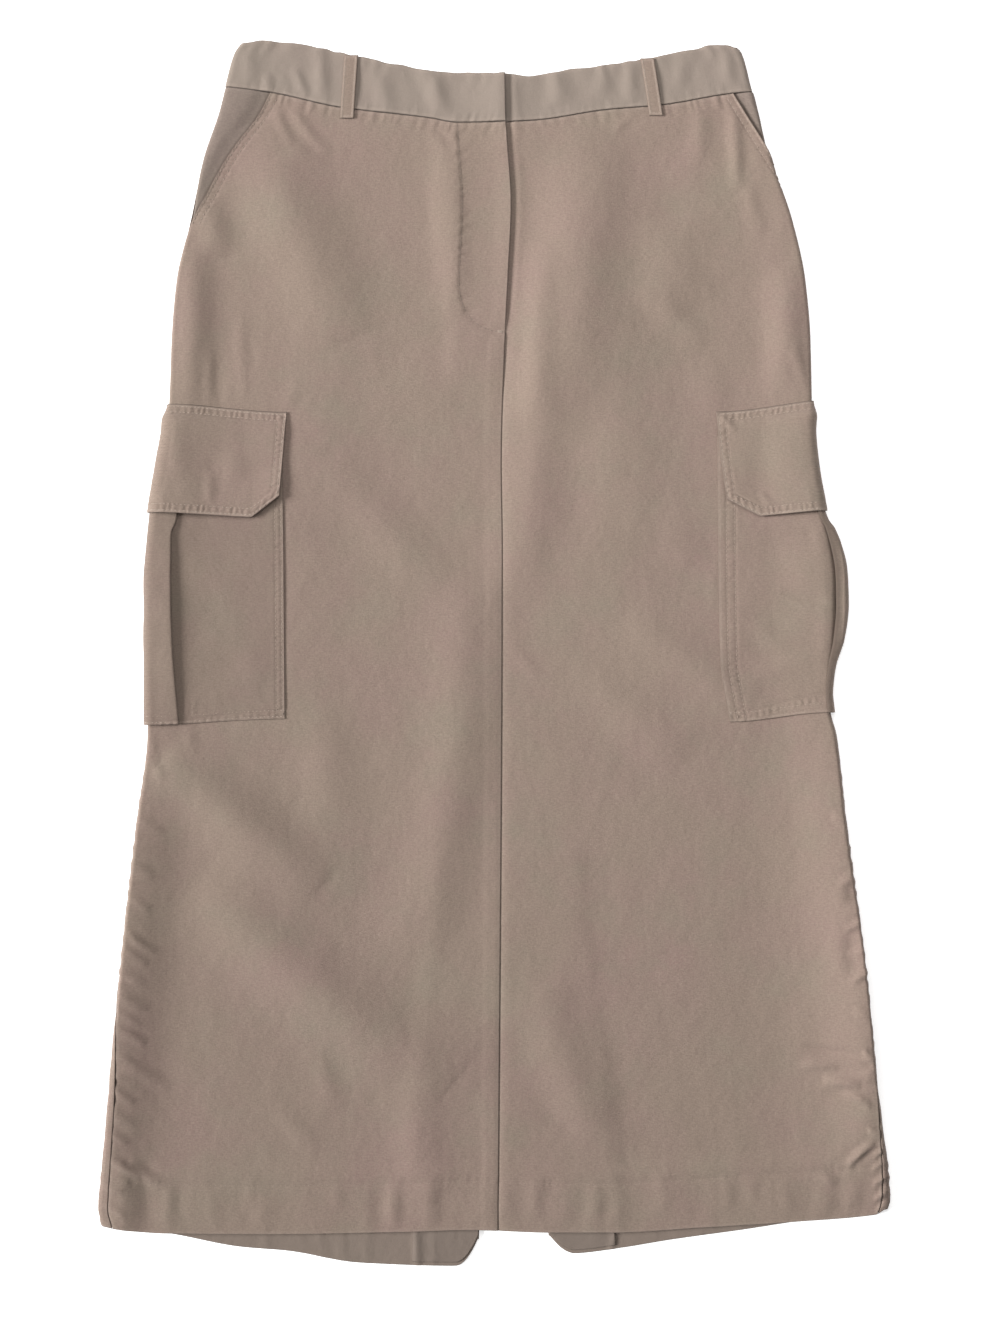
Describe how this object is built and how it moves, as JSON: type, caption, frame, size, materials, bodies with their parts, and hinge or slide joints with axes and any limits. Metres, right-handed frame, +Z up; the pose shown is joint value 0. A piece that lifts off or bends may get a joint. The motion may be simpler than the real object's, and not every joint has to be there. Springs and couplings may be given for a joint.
{
  "type": "cargo utility skirt",
  "caption": "Long straight skirt with a fly front, belt loops, slanted hip pockets, pleated cargo pockets with flaps and a slit at the centre back, laid flat.",
  "frame": {"origin": "centre of the outline on the surface that the skirt lies on", "axes": "+Z up from that surface, out of the front; +Y from the hem towards the waistband; +X to the right as seen from the front"},
  "size_m": [0.6022, 0.9319, 0.0145],
  "materials": {
    "cloth": "matt cotton twill, pinkish taupe",
    "inner_cloth": "matt cotton twill, pinkish taupe, the pieces that lie inside"
  },
  "bodies": {
    "root": {"front_panel_left": "cloth", "front_panel_right": "cloth", "back_panel_left": "cloth", "back_panel_right": "cloth", "waistband_left": "cloth", "waistband_right": "cloth", "hip_facing_left": "inner_cloth", "hip_facing_right": "inner_cloth", "vent_facing_left": "inner_cloth", "vent_facing_right": "inner_cloth", "belt_loop_front_left": "cloth", "belt_loop_front_right": "cloth", "belt_loop_back_left": "cloth", "belt_loop_back_middle": "cloth", "belt_loop_back_right": "cloth", "cargo_pocket_left": "cloth", "cargo_pocket_right": "cloth", "cargo_flap_left": "cloth", "cargo_flap_right": "cloth"}
  },
  "joints": []
}
